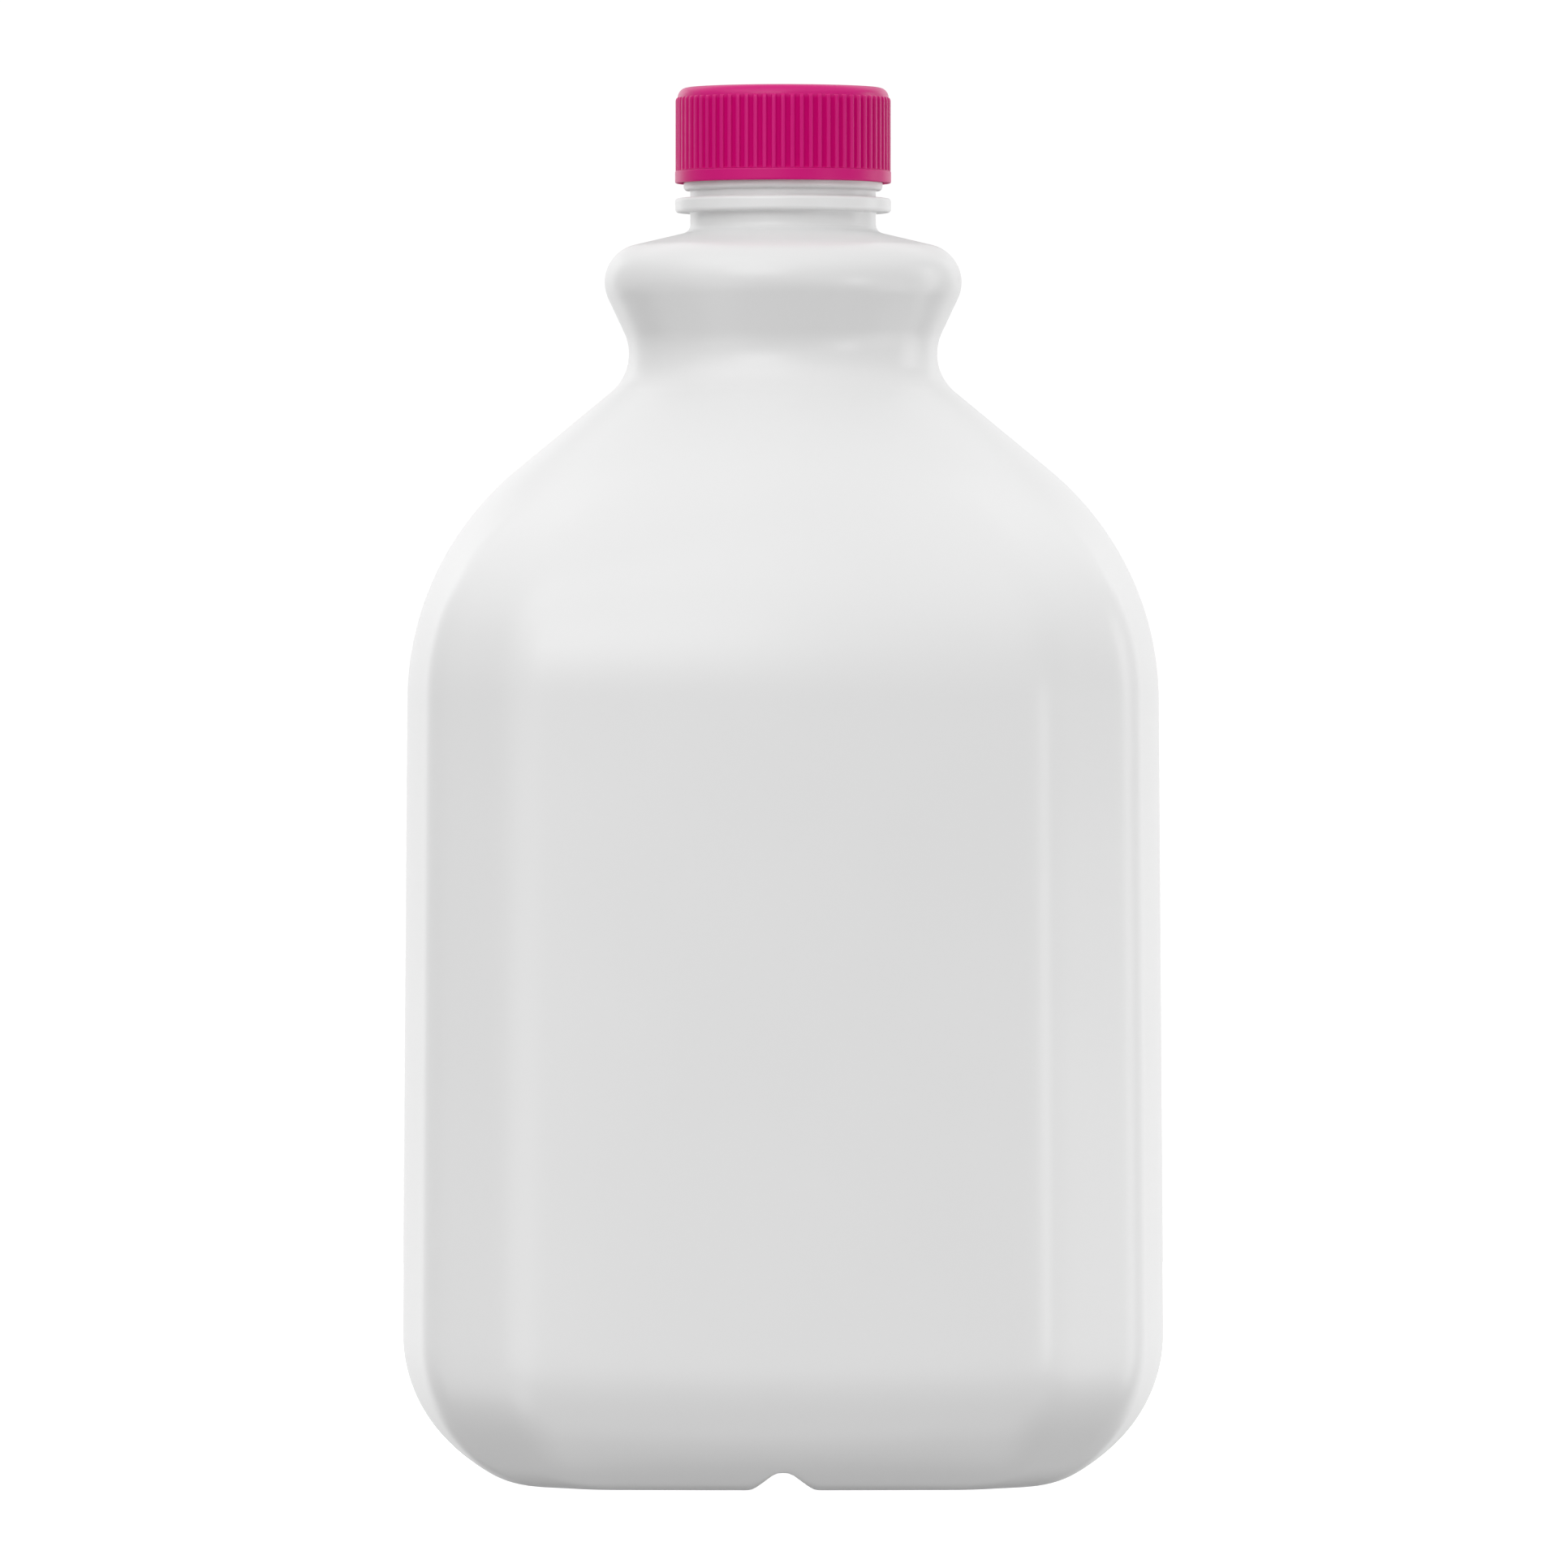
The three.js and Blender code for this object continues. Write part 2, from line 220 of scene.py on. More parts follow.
def bottle_outline():
    """Rows of side half width, front half width and height, from the middle of the base up."""
    base_steps, foot_steps, wall_steps, cone_steps = 26, 32, 14, 6
    side_foot = body_half(0, SIDE_FOOT_RADIUS)
    front_foot = body_half(0, FRONT_FOOT_RADIUS)
    rows = [
        (side_foot * i / base_steps, front_foot * i / base_steps, 0.0)
        for i in range(base_steps)
    ]
    for i in range(foot_steps):
        z = SIDE_FOOT_RADIUS * (1 - math.cos(math.pi * i / (2 * foot_steps)))
        rows.append((body_half(z, SIDE_FOOT_RADIUS), body_half(z, FRONT_FOOT_RADIUS), z))
    for i in range(wall_steps):
        z = SIDE_FOOT_RADIUS + (DOME_START - SIDE_FOOT_RADIUS) * i / wall_steps
        half = body_half(z, SIDE_FOOT_RADIUS)
        rows.append((half, half, z))

    dome_x = BODY_HALF_TOP - DOME_RADIUS
    round_part = arc(dome_x, DOME_START, DOME_RADIUS, 0, SHOULDER_ANGLE, steps=34)
    waist_x = WAIST_RADIUS + WAIST_ARC
    waist_end = 180 - WAIST_FLANK_ANGLE
    waist = arc(waist_x, WAIST_HEIGHT, WAIST_ARC, 180 + SHOULDER_ANGLE, waist_end, steps=18)
    cone_start, cone_end = Vector(round_part[-1]), Vector(waist[0])
    round_part += [tuple(cone_start.lerp(cone_end, i / cone_steps)) for i in range(1, cone_steps)]
    round_part += waist
    collar_x = COLLAR_RADIUS - COLLAR_ARC
    round_part += arc(
        collar_x, COLLAR_HEIGHT, COLLAR_ARC, -WAIST_FLANK_ANGLE, COLLAR_TOP_ANGLE, steps=22,
    )

    # The collar's top slopes up to the neck, which carries the support ring and the bead
    top_x, top_z = round_part.pop()
    neck_foot = top_z + (top_x - NECK_RADIUS) * math.tan(math.radians(90 - COLLAR_TOP_ANGLE))
    round_part += rounded_path([
        (top_x, top_z, 0),
        (NECK_RADIUS, neck_foot, NECK_FILLET),
        (NECK_RADIUS, RING_BOTTOM, INNER_ROUND),
        (RING_RADIUS, RING_BOTTOM, RING_ROUND),
        (RING_RADIUS, RING_TOP, RING_ROUND),
        (NECK_RADIUS, RING_TOP, INNER_ROUND),
        (NECK_RADIUS, BEAD_BOTTOM, INNER_ROUND),
        (BEAD_RADIUS, BEAD_BOTTOM, BEAD_ROUND),
        (BEAD_RADIUS, BEAD_TOP, INNER_ROUND),
        (NECK_RADIUS, BEAD_TOP, INNER_ROUND),
        (NECK_RADIUS, MOUTH_HEIGHT, INNER_ROUND),
        (0, MOUTH_HEIGHT, 0),
    ])
    return rows + [(x, x, z) for x, z in round_part]


def bottle_plan():
    """Points round the body's plan from the middle of the front, in units of its half width."""
    front_turn = 2 * math.atan(FRONT_CROWN_RISE / FRONT_CROWN_HALF)
    side_turn = 2 * math.atan(SIDE_CROWN_RISE / SIDE_CROWN_HALF)
    front_radius = FRONT_CROWN_HALF / math.sin(front_turn)
    side_radius = SIDE_CROWN_HALF / math.sin(side_turn)
    front_end, side_start = 90 - math.degrees(front_turn), math.degrees(side_turn)
    front = arc(0, BODY_HALF_TOP - front_radius, front_radius, 90, front_end, steps=38)
    side = arc(BODY_HALF_TOP - side_radius, 0, side_radius, side_start, 0, steps=20)
    edge_x = front[-1][0] - FRONT_EDGE_RADIUS * math.sin(front_turn)
    edge_y = front[-1][1] - FRONT_EDGE_RADIUS * math.cos(front_turn)
    front_edge = arc(edge_x, edge_y, FRONT_EDGE_RADIUS, front_end, 45, steps=11)

    # The corner is flat at 45 degrees, and the side's edge arc meets both it and the side face
    flat_sum = sum(front_edge[-1])
    spread = math.sqrt(2) - math.cos(side_turn) - math.sin(side_turn)
    side_edge_radius = (flat_sum - sum(side[0])) / spread
    edge_x = side[0][0] - side_edge_radius * math.cos(side_turn)
    edge_y = side[0][1] - side_edge_radius * math.sin(side_turn)
    side_edge = arc(edge_x, edge_y, side_edge_radius, 45, side_start, steps=11)
    flat_steps = 4
    flat_start, flat_end = Vector(front_edge[-1]), Vector(side_edge[0])
    flat = [tuple(flat_start.lerp(flat_end, i / flat_steps)) for i in range(1, flat_steps)]

    quarter = front + front_edge[1:] + flat + side_edge + side[1:]
    half = quarter + [(x, -y) for x, y in reversed(quarter[:-1])]
    whole = half + [(-x, y) for x, y in reversed(half[:-1])]
    return [(x / BODY_HALF_TOP, -y / BODY_HALF_TOP, 0) for x, y in whole]


def sweep_grid(tree, across, outline):
    """A flat grid with one column for each point of one line and one ring for each point of the
    outline, and the column and ring that each of its points is in."""
    counts, spans, places = [], [], []
    position = add_node(tree, "GeometryNodeInputPosition")
    spot = add_node(tree, "ShaderNodeSeparateXYZ", [position]).outputs
    for line, axis in ((across, "X"), (outline, "Y")):
        size = add_node(tree, "GeometryNodeAttributeDomainSize", {"Geometry": line})
        count = size.outputs["Point Count"]
        span = add_node(tree, "ShaderNodeMath", [count, 1.0], operation="SUBTRACT")
        half = add_node(tree, "ShaderNodeMath", [span, 0.5], operation="MULTIPLY")
        place = add_node(tree, "ShaderNodeMath", [spot[axis], half], operation="ADD")
        counts.append(count)
        spans.append(span)
        places.append(add_node(tree, "ShaderNodeMath", [place], operation="ROUND"))
    grid = add_node(tree, "GeometryNodeMeshGrid", {
        "Size X": spans[0], "Size Y": spans[1], "Vertices X": counts[0], "Vertices Y": counts[1],
    })
    return grid, *places


def swept_bottle_tree():
    """Geometry tree: sweeps an outline round a plan, and presses two hollows into its base."""
    tree = bpy.data.node_groups.new("Bottle swept round its plan", "GeometryNodeTree")
    tree.is_modifier = True
    tree.interface.new_socket("Outline", in_out="INPUT", socket_type="NodeSocketGeometry")
    tree.interface.new_socket("Plan", in_out="INPUT", socket_type="NodeSocketObject")
    for name in (
        "Channel reach", "Channel depth", "Recess reach", "Recess depth",
        "Flank slope", "Lip softness",
    ):
        tree.interface.new_socket(name, in_out="INPUT", socket_type="NodeSocketFloat")
    tree.interface.new_socket("Material", in_out="INPUT", socket_type="NodeSocketMaterial")
    tree.interface.new_socket("Bottle", in_out="OUTPUT", socket_type="NodeSocketGeometry")
    given = add_node(tree, "NodeGroupInput").outputs
    plan = add_node(tree, "GeometryNodeObjectInfo", {"Object": given["Plan"]}).outputs["Geometry"]
    grid, column, ring = sweep_grid(tree, plan, given["Outline"])

    # Radius: from the side's half width to the front's, then out to the plan as far as it is square
    position = add_node(tree, "GeometryNodeInputPosition")
    plan_spot = add_node(tree, "GeometryNodeSampleIndex", {
        "Geometry": plan, "Value": position, "Index": column,
    }, data_type="FLOAT_VECTOR")
    reach = add_node(tree, "ShaderNodeVectorMath", [plan_spot], operation="LENGTH").outputs["Value"]
    direction = add_node(tree, "ShaderNodeVectorMath", [plan_spot], operation="NORMALIZE")
    row = add_node(tree, "ShaderNodeSeparateXYZ", [
        add_node(tree, "GeometryNodeSampleIndex", {
            "Geometry": given["Outline"], "Value": position, "Index": ring,
        }, data_type="FLOAT_VECTOR"),
    ]).outputs
    front_half, square = [
        add_node(tree, "GeometryNodeSampleIndex", {
            "Geometry": given["Outline"],
            "Value": add_node(tree, "GeometryNodeInputNamedAttribute", {
                "Name": name,
            }, data_type="FLOAT"),
            "Index": ring,
        }, data_type="FLOAT")
        for name in ("front_half", "squareness")
    ]
    towards = add_node(tree, "ShaderNodeSeparateXYZ", [direction]).outputs["Y"]
    frontness = add_node(tree, "ShaderNodeMath", [towards, towards], operation="MULTIPLY")
    front_gain = add_node(tree, "ShaderNodeMath", [front_half, row["X"]], operation="SUBTRACT")
    radius = add_node(tree, "ShaderNodeMath", [
        front_gain, frontness, row["X"],
    ], operation="MULTIPLY_ADD")
    standing_out = add_node(tree, "ShaderNodeMath", [reach, 1.0], operation="SUBTRACT")
    stretch = add_node(tree, "ShaderNodeMath", [
        standing_out, square, 1.0,
    ], operation="MULTIPLY_ADD")
    radius = add_node(tree, "ShaderNodeMath", [radius, stretch], operation="MULTIPLY")
    across = add_node(tree, "ShaderNodeVectorMath", {
        "Vector": direction, "Scale": radius,
    }, operation="SCALE")
    flat = add_node(tree, "ShaderNodeSeparateXYZ", [across]).outputs

    # Height: lifted to a soft-edged ridge over the channel, then over the recess
    height = row["Z"]
    beside = add_node(tree, "ShaderNodeMath", [flat["X"]], operation="ABSOLUTE")
    for distance, name in ((beside, "Channel"), (radius, "Recess")):
        inset = add_node(tree, "ShaderNodeMath", [
            given[name + " reach"], distance,
        ], operation="SUBTRACT")
        flank = add_node(tree, "ShaderNodeMath", [
            inset, given["Flank slope"],
        ], operation="MULTIPLY")
        ridge = add_node(tree, "ShaderNodeMath", [
            flank, given[name + " depth"], given["Lip softness"],
        ], operation="SMOOTH_MIN")
        height = add_node(tree, "ShaderNodeMath", [
            height, ridge, given["Lip softness"],
        ], operation="SMOOTH_MAX")
    place = add_node(tree, "ShaderNodeCombineXYZ", [flat["X"], flat["Y"], height])

    skin = add_node(tree, "GeometryNodeSetPosition", {"Geometry": grid, "Position": place})
    skin = add_node(tree, "GeometryNodeMergeByDistance", {"Geometry": skin, "Distance": WELD})
    skin = add_node(tree, "GeometryNodeSetShadeSmooth", {"Geometry": skin})
    skin = add_node(tree, "GeometryNodeRealizeInstances", {"Geometry": skin})
    skin = add_node(tree, "GeometryNodeSetMaterial", {
        "Geometry": skin, "Material": given["Material"],
    })
    add_node(tree, "NodeGroupOutput", [skin])
    return tree


def blow_moulded_hdpe():
    """Blow-moulded HDPE, whitened with titanium dioxide: satin, with the fine blasted grain of the
    mould and faint slow ripples where the wall cooled unevenly."""
    material = bpy.data.materials.new("Blow-moulded white HDPE")
    material.use_nodes = True
    tree = material.node_tree
    tree.nodes.clear()
    place = add_node(tree, "ShaderNodeTexCoord").outputs["Object"]

    # Cloudy tone in patches of about 36 mm, where the wall is thicker or thinner
    cloud = add_node(tree, "ShaderNodeTexNoise", {
        "Vector": place, "Scale": per_size(CLOUD_SIZE), "Detail": 2.0, "Roughness": 0.4,
    })
    tone = add_node(tree, "ShaderNodeMix", {
        "Factor": cloud, MIX_A: linear("E3E3E3"), MIX_B: linear("E6E6E6"),
    }, data_type="RGBA").outputs[MIX_RESULT]

    # Grain as the photo shows it: level strokes of about 1.4 mm by 0.5 mm, with finer grain in them
    along, up = per_size(GRAIN_LENGTH), per_size(GRAIN_THICKNESS)
    stroke = add_node(tree, "ShaderNodeMapping", {"Vector": place, "Scale": (along, along, up)})
    grain = add_node(tree, "ShaderNodeTexNoise", {
        "Vector": stroke, "Scale": 1.0, "Detail": 3.0, "Roughness": 0.55,
    })
    gloss = add_node(tree, "ShaderNodeMapRange", {"Value": grain, "To Min": 0.28, "To Max": 0.36})

    # Ripples of about 18 mm and a few thousandths of a millimetre, far too shallow to be geometry
    ripple = add_node(tree, "ShaderNodeTexNoise", {
        "Vector": place, "Scale": per_size(RIPPLE_SIZE), "Detail": 1.0, "Roughness": 0.3,
    })
    bump = add_node(tree, "ShaderNodeBump", {
        "Strength": 0.03, "Distance": RIPPLE_DEPTH * MM, "Height": ripple,
    })
    bump = add_node(tree, "ShaderNodeBump", {
        "Strength": 0.10, "Distance": GRAIN_DEPTH * MM, "Height": grain, "Normal": bump,
    })
    skin = add_node(tree, "ShaderNodeBsdfPrincipled", {
        "Base Color": tone, "Roughness": gloss, "IOR": 1.54, "Normal": bump,
    })
    add_node(tree, "ShaderNodeOutputMaterial", [skin])
    return material


outline = bottle_outline()
bottle = line_object(
    "bottle_blown",
    [(side * MM, 0, z * MM) for side, front, z in outline],
    front_half=[front * MM for side, front, z in outline],
    squareness=[squareness(z) for side, front, z in outline],
)
plan = line_object("bottle_plan", bottle_plan())
grow(bottle, swept_bottle_tree(), {
    "Plan": plan,
    "Channel reach": CHANNEL_REACH * MM,
    "Channel depth": CHANNEL_DEPTH * MM,
    "Recess reach": RECESS_REACH * MM,
    "Recess depth": RECESS_DEPTH * MM,
    "Flank slope": FLANK_SLOPE,
    "Lip softness": LIP_SOFTNESS * MM,
    "Material": blow_moulded_hdpe(),
})
bpy.data.objects.remove(plan)
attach(bottle, "root")
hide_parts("bottle")

# ---------------------------------------------------------------------------
# Cap
# A one-piece screw cap, injection-moulded in magenta polypropylene: a cup with a rounded top
# edge, 72 upright grip ribs and a plain rim at its foot. It is screwed down over the bead.
# ---------------------------------------------------------------------------

# Cup and rim, in millimetres and degrees as the bottle
CAP_TOP = 274.3
CAP_TOP_THICKNESS = 1.5
CAP_BOTTOM = 255.5
CAP_BORE_RADIUS = 19.9
CAP_BORE_ROUND = 0.5
CAP_MOUTH_ROUND = 0.2
CAP_WALL_RADIUS = 20.8
CAP_EDGE_RADIUS = 1.9
RIM_RADIUS = 21.3
RIM_TOP = 257.9
RIM_ROUND = 0.28
RIM_FILLET = 0.42
RIM_FILLET_START = 265

# Ribs, which stand up from the wall
RIB_COUNT = 72
RIB_CREST_RADIUS = 21.2
RIB_TOP = 272.35
RIB_END = 0.75
RIB_FOOT_HALF_ANGLE = 1.55
RIB_CREST_HALF_ANGLE = 0.85

# Surface: how far out of a groove the polish and the painted light are full, how much of the top's
# polish and painted light the ribs have, the dye's patches and the flecks
POLISH_AND_LIGHT_DEPTH = 0.25
RIB_POLISH_AND_LIGHT = 0.75
DYE_SIZE = 6.25
FLECK_SIZE = 0.384615
FLECK_DEPTH = 0.05


def cap_outline():
    """Rows of radius, height and how far a rib stands up, from under the top to its upper side."""
    wall = rounded_path([
        (0, CAP_TOP - CAP_TOP_THICKNESS, 0),
        (CAP_BORE_RADIUS, CAP_TOP - CAP_TOP_THICKNESS, CAP_BORE_ROUND),
        (CAP_BORE_RADIUS, CAP_BOTTOM, CAP_MOUTH_ROUND),
        (RIM_RADIUS, CAP_BOTTOM, RIM_ROUND),
        (RIM_RADIUS, RIM_TOP, RIM_ROUND),
        (CAP_WALL_RADIUS, RIM_TOP, 0),
    ])[:-1]
    rows = [(x, z, 0.0) for x, z in wall]

    # Concave root between the rim and the grooves, which ends each groove in a small scallop
    root_x, root_z = CAP_WALL_RADIUS + RIM_FILLET, RIM_TOP + RIM_FILLET
    root = arc(root_x, root_z, RIM_FILLET, RIM_FILLET_START, 180, steps=6)
    rows += [(x, z, 1.0) for x, z in root]
    wall_steps, end_steps = 5, 8
    foot, end_start = root[-1][1], RIB_TOP - RIB_END
    for i in range(1, wall_steps + 1):
        rows.append((CAP_WALL_RADIUS, foot + (end_start - foot) * i / wall_steps, 1.0))

    # Rounded end of the ribs, then the top edge and rings across the flat top
    for i in range(1, end_steps + 1):
        lift = math.sin(math.pi * i / (2 * end_steps))
        standing = math.sqrt(max(0.0, 1 - lift * lift))
        rows.append((CAP_WALL_RADIUS, end_start + RIB_END * lift, standing))
    edge_x, edge_z = CAP_WALL_RADIUS - CAP_EDGE_RADIUS, CAP_TOP - CAP_EDGE_RADIUS
    edge = arc(edge_x, edge_z, CAP_EDGE_RADIUS, 0, 90, steps=12)
    rows += [(x, z, 0.0) for x, z in edge]
    rows += [(edge_x * part, CAP_TOP, 0.0) for part in (0.97, 0.8, 0.5, 0.2, 0.0)]
    return rows


def rib_section():
    """One rib and half a groove on each side: points of angle in degrees and height from 0 to 1."""
    half_pitch = 180 / RIB_COUNT
    flank = RIB_FOOT_HALF_ANGLE - RIB_CREST_HALF_ANGLE
    steps = 6
    rising = [
        (-RIB_FOOT_HALF_ANGLE + flank * i / steps, 0.5 - 0.5 * math.cos(math.pi * i / steps))
        for i in range(steps + 1)
    ]
    left = [(-half_pitch, 0.0), (-(half_pitch + RIB_FOOT_HALF_ANGLE) / 2, 0.0)] + rising
    return left + [(0.0, 1.0)] + [(-angle, height) for angle, height in reversed(left)]


def ribbed_cap_tree():
    """Geometry tree: sweeps an outline through one rib's pitch, and sets it all round the axis."""
    tree = bpy.data.node_groups.new("Cap from ribbed slices", "GeometryNodeTree")
    tree.is_modifier = True
    tree.interface.new_socket("Outline", in_out="INPUT", socket_type="NodeSocketGeometry")
    tree.interface.new_socket("Rib section", in_out="INPUT", socket_type="NodeSocketObject")
    tree.interface.new_socket("Rib count", in_out="INPUT", socket_type="NodeSocketInt")
    tree.interface.new_socket("Rib crest radius", in_out="INPUT", socket_type="NodeSocketFloat")
    tree.interface.new_socket("Material", in_out="INPUT", socket_type="NodeSocketMaterial")
    tree.interface.new_socket("Cap", in_out="OUTPUT", socket_type="NodeSocketGeometry")
    given = add_node(tree, "NodeGroupInput").outputs
    section = add_node(tree, "GeometryNodeObjectInfo", {
        "Object": given["Rib section"],
    }).outputs["Geometry"]
    grid, column, ring = sweep_grid(tree, section, given["Outline"])

    # Radius: the outline's, filled out to the rib's crest as far as the rib stands up
    position = add_node(tree, "GeometryNodeInputPosition")
    across = add_node(tree, "ShaderNodeSeparateXYZ", [
        add_node(tree, "GeometryNodeSampleIndex", {
            "Geometry": section, "Value": position, "Index": column,
        }, data_type="FLOAT_VECTOR"),
    ]).outputs
    row = add_node(tree, "ShaderNodeSeparateXYZ", [
        add_node(tree, "GeometryNodeSampleIndex", {
            "Geometry": given["Outline"], "Value": position, "Index": ring,
        }, data_type="FLOAT_VECTOR"),
    ]).outputs
    standing = add_node(tree, "GeometryNodeSampleIndex", {
        "Geometry": given["Outline"],
        "Value": add_node(tree, "GeometryNodeInputNamedAttribute", {
            "Name": "rib",
        }, data_type="FLOAT"),
        "Index": ring,
    }, data_type="FLOAT")
    room = add_node(tree, "ShaderNodeMath", [
        given["Rib crest radius"], row["X"],
    ], operation="SUBTRACT")
    room = add_node(tree, "ShaderNodeMath", [room, 0.0], operation="MAXIMUM")
    share = add_node(tree, "ShaderNodeMath", [standing, across["Y"]], operation="MULTIPLY")
    radius = add_node(tree, "ShaderNodeMath", [room, share, row["X"]], operation="MULTIPLY_ADD")
    angle = add_node(tree, "ShaderNodeMath", [across["X"]], operation="RADIANS")
    sideways = add_node(tree, "ShaderNodeMath", [
        radius, add_node(tree, "ShaderNodeMath", [angle], operation="SINE"),
    ], operation="MULTIPLY")
    forwards = add_node(tree, "ShaderNodeMath", [
        radius, add_node(tree, "ShaderNodeMath", [angle], operation="COSINE"),
    ], operation="MULTIPLY")
    backwards = add_node(tree, "ShaderNodeMath", [forwards, -1.0], operation="MULTIPLY")
    place = add_node(tree, "ShaderNodeCombineXYZ", [sideways, backwards, row["Z"]])
    slice_skin = add_node(tree, "GeometryNodeSetPosition", {"Geometry": grid, "Position": place})

    # One slice for each rib, turned about the axis
    stations = add_node(tree, "GeometryNodePoints", {"Count": given["Rib count"]})
    pitch = add_node(tree, "ShaderNodeMath", [math.tau, given["Rib count"]], operation="DIVIDE")
    turn = add_node(tree, "ShaderNodeMath", [
        add_node(tree, "GeometryNodeInputIndex"), pitch,
    ], operation="MULTIPLY")
    turn = add_node(tree, "ShaderNodeCombineXYZ", {"Z": turn})
    ribs = add_node(tree, "GeometryNodeInstanceOnPoints", {
        "Points": stations, "Instance": slice_skin, "Rotation": turn,
    })
    skin = add_node(tree, "GeometryNodeRealizeInstances", {"Geometry": ribs})
    skin = add_node(tree, "GeometryNodeMergeByDistance", {"Geometry": skin, "Distance": WELD})
    skin = add_node(tree, "GeometryNodeSetShadeSmooth", {"Geometry": skin})
    skin = add_node(tree, "GeometryNodeSetMaterial", {
        "Geometry": skin, "Material": given["Material"],
    })
    add_node(tree, "NodeGroupOutput", [skin])
    return tree


def injection_moulded_pp():
    """Injection-moulded PP, dyed magenta: a satin gloss on the ribs, the rim and the top. The mould
    isn't polished where it forms the grooves, so they stay dull; their floors are also painted a
    darker magenta as shade between the ribs."""
    material = bpy.data.materials.new("Injection-moulded magenta PP")
    material.use_nodes = True
    tree = material.node_tree
    tree.nodes.clear()
    place = add_node(tree, "ShaderNodeTexCoord").outputs["Object"]

    # Polish and painted light: none on a groove's floor, more towards a rib's crest, and full above
    # the ribs
    spot = add_node(tree, "ShaderNodeSeparateXYZ", [place]).outputs
    level = add_node(tree, "ShaderNodeVectorMath", [place, (1, 1, 0)], operation="MULTIPLY")
    reach = add_node(tree, "ShaderNodeVectorMath", [level], operation="LENGTH").outputs["Value"]
    crest = add_node(tree, "ShaderNodeMapRange", {
        "Value": reach, "From Min": CAP_WALL_RADIUS * MM,
        "From Max": (CAP_WALL_RADIUS + POLISH_AND_LIGHT_DEPTH) * MM, "To Max": RIB_POLISH_AND_LIGHT,
    })
    above = add_node(tree, "ShaderNodeMapRange", {
        "Value": spot["Z"], "From Min": (RIB_TOP - RIB_END) * MM, "From Max": RIB_TOP * MM,
    })
    polish_and_light = add_node(tree, "ShaderNodeMath", [crest, above], operation="MAXIMUM")

    # Slightly uneven dye in patches of about 6 mm, and flecks of about 0.4 mm from the melt's flow
    cloud = add_node(tree, "ShaderNodeTexNoise", {
        "Vector": place, "Scale": per_size(DYE_SIZE), "Detail": 2.0, "Roughness": 0.5,
    })
    dye_and_groove_shade = add_node(tree, "ShaderNodeMix", {
        "Factor": cloud, MIX_A: linear("CC0075"), MIX_B: linear("D2007A"),
    }, data_type="RGBA").outputs[MIX_RESULT]
    # Painted shade: the grooves' floors are mixed to a darker magenta, lightening towards the
    # crests and the top
    dye_and_groove_shade = add_node(tree, "ShaderNodeMix", {
        "Factor": polish_and_light, MIX_A: linear("C6006C"), MIX_B: dye_and_groove_shade,
    }, data_type="RGBA").outputs[MIX_RESULT]
    fleck = add_node(tree, "ShaderNodeTexNoise", {
        "Vector": place, "Scale": per_size(FLECK_SIZE), "Detail": 2.0, "Roughness": 0.6,
    })
    gloss = add_node(tree, "ShaderNodeMapRange", {"Value": fleck, "To Min": 0.26, "To Max": 0.38})
    dull = add_node(tree, "ShaderNodeMapRange", {"Value": polish_and_light, "To Min": 0.2, "To Max": 0.0})
    rough = add_node(tree, "ShaderNodeMath", [gloss, dull], operation="ADD")
    shine = add_node(tree, "ShaderNodeMapRange", {"Value": polish_and_light, "To Min": 0.05, "To Max": 0.5})
    bump = add_node(tree, "ShaderNodeBump", {
        "Strength": 0.10, "Distance": FLECK_DEPTH * MM, "Height": fleck,
    })
    skin = add_node(tree, "ShaderNodeBsdfPrincipled", {
        "Base Color": dye_and_groove_shade, "Roughness": rough, "Normal": bump,
        "IOR": 1.40, "Specular IOR Level": shine,
    })
    add_node(tree, "ShaderNodeOutputMaterial", [skin])
    return material


outline = cap_outline()
cap = line_object(
    "cap_ribbed",
    [(x * MM, 0, z * MM) for x, z, rib in outline],
    rib=[rib for x, z, rib in outline],
)
section = line_object("rib_section", [(angle, height, 0) for angle, height in rib_section()])
grow(cap, ribbed_cap_tree(), {
    "Rib section": section,
    "Rib count": RIB_COUNT,
    "Rib crest radius": RIB_CREST_RADIUS * MM,
    "Material": injection_moulded_pp(),
})
bpy.data.objects.remove(section)
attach(cap, "root")
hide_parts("cap")

# ---------------------------------------------------------------------------
# Studio
# A pale paper floor under soft boxes, with white all round behind the object. The floor is only
# there for the camera: it throws no light on the jug, and lets the low lights through from beneath.
# ---------------------------------------------------------------------------

FLOOR_SIZE = 3.0
JUG_MIDDLE = Vector((0, 0, 0.14))

paper = bpy.data.materials.new("Matt white paper")
paper.use_nodes = True
tree = paper.node_tree
tree.nodes.clear()
sheet = add_node(tree, "ShaderNodeBsdfPrincipled", {
    "Base Color": linear("F4F4F4"), "Roughness": 0.9,
    "Emission Color": linear("FFFFFF"), "Emission Strength": 0.85,
})
add_node(tree, "ShaderNodeOutputMaterial", [sheet])
mesh = bpy.data.meshes.new("floor")
half = FLOOR_SIZE / 2
corners = [(-half, -half, 0), (half, -half, 0), (half, half, 0), (-half, half, 0)]
mesh.from_pydata(corners, [], [(0, 1, 2, 3)])
mesh.materials.append(paper)
floor = bpy.data.objects.new("floor", mesh)
bpy.context.scene.collection.objects.link(floor)
floor.visible_diffuse = floor.visible_glossy = False
floor.visible_transmission = floor.visible_shadow = False


